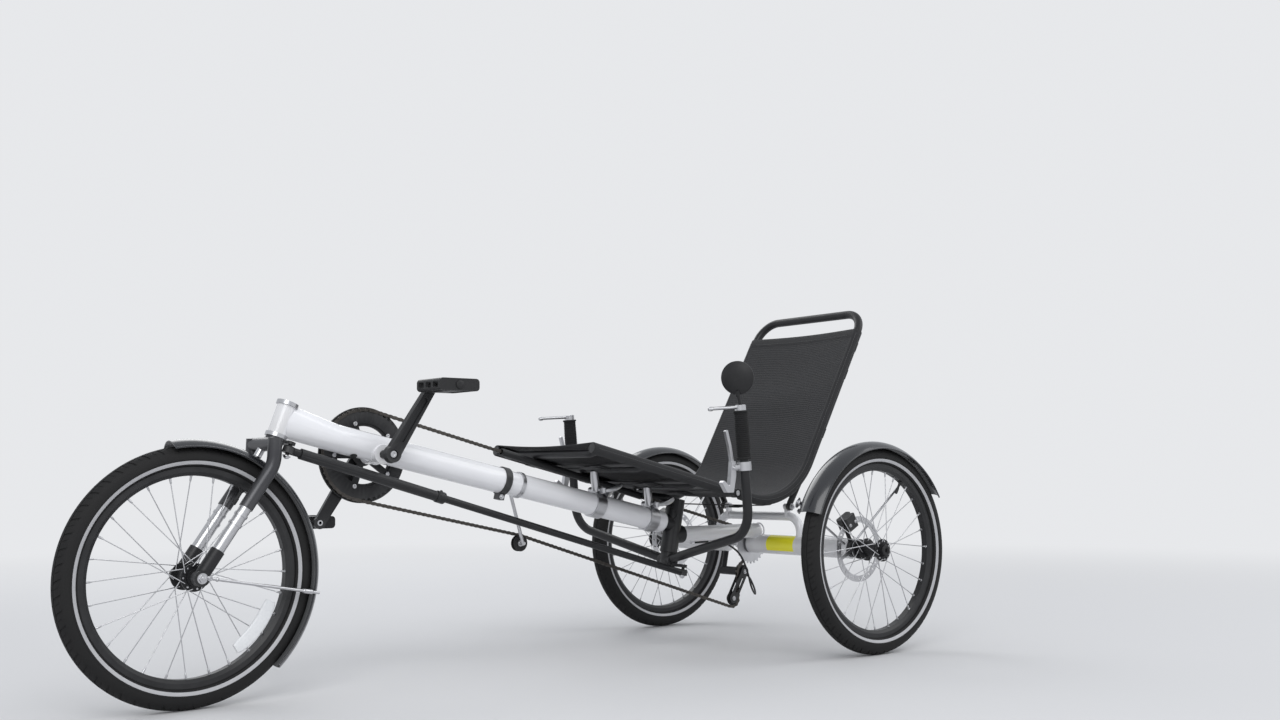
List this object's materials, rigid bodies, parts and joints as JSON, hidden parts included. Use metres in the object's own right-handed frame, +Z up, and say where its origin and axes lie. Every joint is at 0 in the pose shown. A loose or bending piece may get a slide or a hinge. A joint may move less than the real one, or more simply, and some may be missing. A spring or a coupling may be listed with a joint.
{
  "type": "recumbent delta trike",
  "caption": "Recumbent trike with one steered front wheel, two rear wheels, a reclined mesh seat and an under-seat handlebar.",
  "frame": {"origin": "on the floor, under the middle of the wheelbase and of the track", "axes": "+X forward, +Y to the rider's left, +Z up"},
  "size_m": [2.035, 0.8616, 0.8763],
  "materials": {
    "white_gloss": "gloss",
    "black_satin": "satin",
    "tyre": "matte",
    "alloy": "satin",
    "steel": "brushed",
    "chain_steel": "oiled",
    "fender_black": "gloss",
    "grip_rubber": "matte",
    "plastic": "matte",
    "mesh": "woven mesh",
    "fork_grey": "satin",
    "reflector": "reflective",
    "label_yellow": "reflective"
  },
  "bodies": {
    "frame": {"main_tube": "white_gloss", "boom": "white_gloss", "boom_clamp": "black_satin", "headset": "steel", "gear_cable": "plastic", "pivot_housing": "black_satin", "axle_beam": "white_gloss", "rear_tube": "white_gloss", "beam_arch": "white_gloss", "axle_bearings": "black_satin", "brake_calipers": "black_satin", "seat_pan": "black_satin", "seat_clamps": "alloy", "pan_sling": "mesh", "chain": "chain_steel", "chain_tube": "plastic", "idler_bracket": "steel", "return_idler": "plastic", "derailleur": "black_satin", "jockey_wheels": "plastic", "left_fender": "fender_black", "right_fender": "fender_black", "rear_fender_stays": "steel", "tow_hitch": "black_satin"},
    "handlebar": {"handlebar": "black_satin", "stem": "black_satin", "grips": "grip_rubber", "brake_levers": "alloy", "gear_levers": "alloy", "mirror": "plastic"},
    "steering_rod": {"steering_rod": "black_satin"},
    "fork": {"fork_crown": "fork_grey", "stanchions": "alloy", "fork_lowers": "black_satin", "fork_arm": "black_satin", "front_fender": "fender_black", "front_fender_stays": "steel"},
    "front_wheel": {"front_tyre": "tyre", "front_rim": "black_satin", "front_spokes": "steel", "front_hub": "black_satin"},
    "left_wheel": {"left_tyre": "tyre", "left_rim": "black_satin", "left_spokes": "steel", "left_hub": "black_satin", "left_rotor": "steel"},
    "right_wheel": {"right_tyre": "tyre", "right_rim": "black_satin", "right_spokes": "steel", "right_hub": "black_satin", "right_rotor": "steel"},
    "crank": {"crank_arms": "black_satin", "chainring": "black_satin"},
    "left_pedal": {"left_pedal": "plastic"},
    "right_pedal": {"right_pedal": "plastic"},
    "cassette": {"cassette": "steel"},
    "backrest": {"backrest": "black_satin", "seat_struts": "black_satin", "back_sling": "mesh"}
  },
  "joints": [
    {"name": "handlebar_turn", "type": "hinge", "parent": "frame", "child": "handlebar", "pos_m": [-0.4575, 0, 0.29], "axis": [-0.2079, 0, 0.9781], "range_deg": [-25, 25]},
    {"name": "steering_rod_swing", "type": "hinge", "parent": "handlebar", "child": "steering_rod", "pos_m": [-0.45317, 0.045, 0.19267], "axis": [-0.2079, 0, 0.9781], "range_deg": [-25, 25]},
    {"name": "fork_turn", "type": "hinge", "parent": "frame", "child": "fork", "pos_m": [0.5725, 0, 0.588], "axis": [-0.342, 0, 0.9397], "range_deg": [-25, 25]},
    {"name": "front_wheel_spin", "type": "hinge", "parent": "fork", "child": "front_wheel", "pos_m": [0.7675, 0, 0.25], "axis": [0, 1, 0], "continuous": true},
    {"name": "left_wheel_spin", "type": "hinge", "parent": "frame", "child": "left_wheel", "pos_m": [-0.7675, 0.395, 0.25], "axis": [0, 1, 0], "continuous": true},
    {"name": "right_wheel_spin", "type": "hinge", "parent": "frame", "child": "right_wheel", "pos_m": [-0.7675, -0.395, 0.25], "axis": [0, 1, 0], "continuous": true},
    {"name": "crank_turn", "type": "hinge", "parent": "frame", "child": "crank", "pos_m": [0.3735, 0, 0.48311], "axis": [0, 1, 0], "continuous": true},
    {"name": "left_pedal_spin", "type": "hinge", "parent": "crank", "child": "left_pedal", "pos_m": [0.28091, 0.138, 0.62568], "axis": [0, 1, 0], "continuous": true},
    {"name": "right_pedal_spin", "type": "hinge", "parent": "crank", "child": "right_pedal", "pos_m": [0.46609, -0.138, 0.34053], "axis": [0, 1, 0], "continuous": true},
    {"name": "cassette_spin", "type": "hinge", "parent": "frame", "child": "cassette", "pos_m": [-0.7675, -0.052, 0.25], "axis": [0, 1, 0], "continuous": true},
    {"name": "backrest_fold", "type": "hinge", "parent": "frame", "child": "backrest", "pos_m": [-0.4975, 0, 0.3896], "axis": [0, 1, 0], "range_deg": [0, 75]}
  ],
  "couplings": [
    {"joint": "fork_turn", "follows": "handlebar_turn", "ratio": 1},
    {"joint": "steering_rod_swing", "follows": "handlebar_turn", "ratio": -1},
    {"joint": "cassette_spin", "follows": "crank_turn", "ratio": 2.8235}
  ]
}
